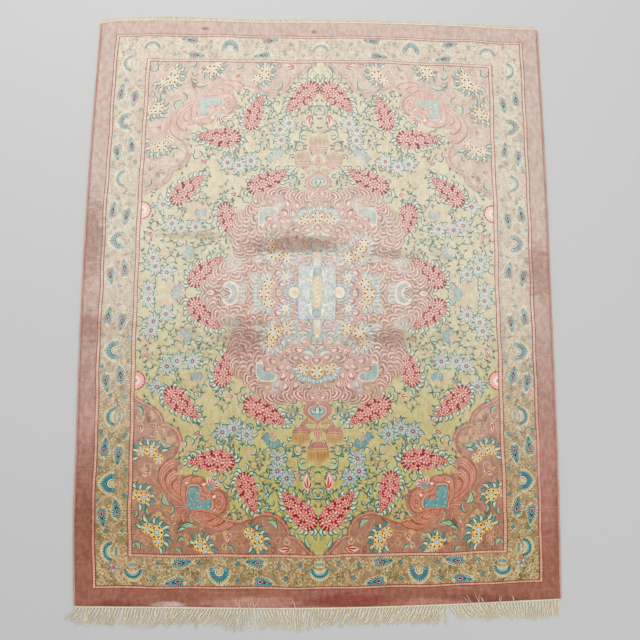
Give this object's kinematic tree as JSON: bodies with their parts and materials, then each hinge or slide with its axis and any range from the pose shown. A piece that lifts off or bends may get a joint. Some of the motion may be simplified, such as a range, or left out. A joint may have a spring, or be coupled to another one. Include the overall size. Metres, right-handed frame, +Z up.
{
  "type": "persian rug",
  "caption": "Flat hand-knotted silk rug with a lobed medallion, flower-filled border, plain outer band, overcast side cords and a warp fringe at both ends.",
  "frame": {"origin": "on the floor under the middle of the whole rug's bounding box, fringe included", "axes": "+Y along the rug's length towards the short-fringed end, +X across it to the right, +Z up out of the pile"},
  "size_m": [1.2634, 1.6502, 0.0053],
  "materials": {
    "silk_pile": "short silk pile with a soft sheen",
    "overcast_silk": "wrapped silk cord",
    "warp_yarn": "dull ivory yarn"
  },
  "bodies": {
    "root": {"rug_body": "silk_pile", "selvedge_left": "overcast_silk", "selvedge_right": "overcast_silk", "fringe_near": "warp_yarn", "fringe_far": "warp_yarn"}
  },
  "joints": []
}
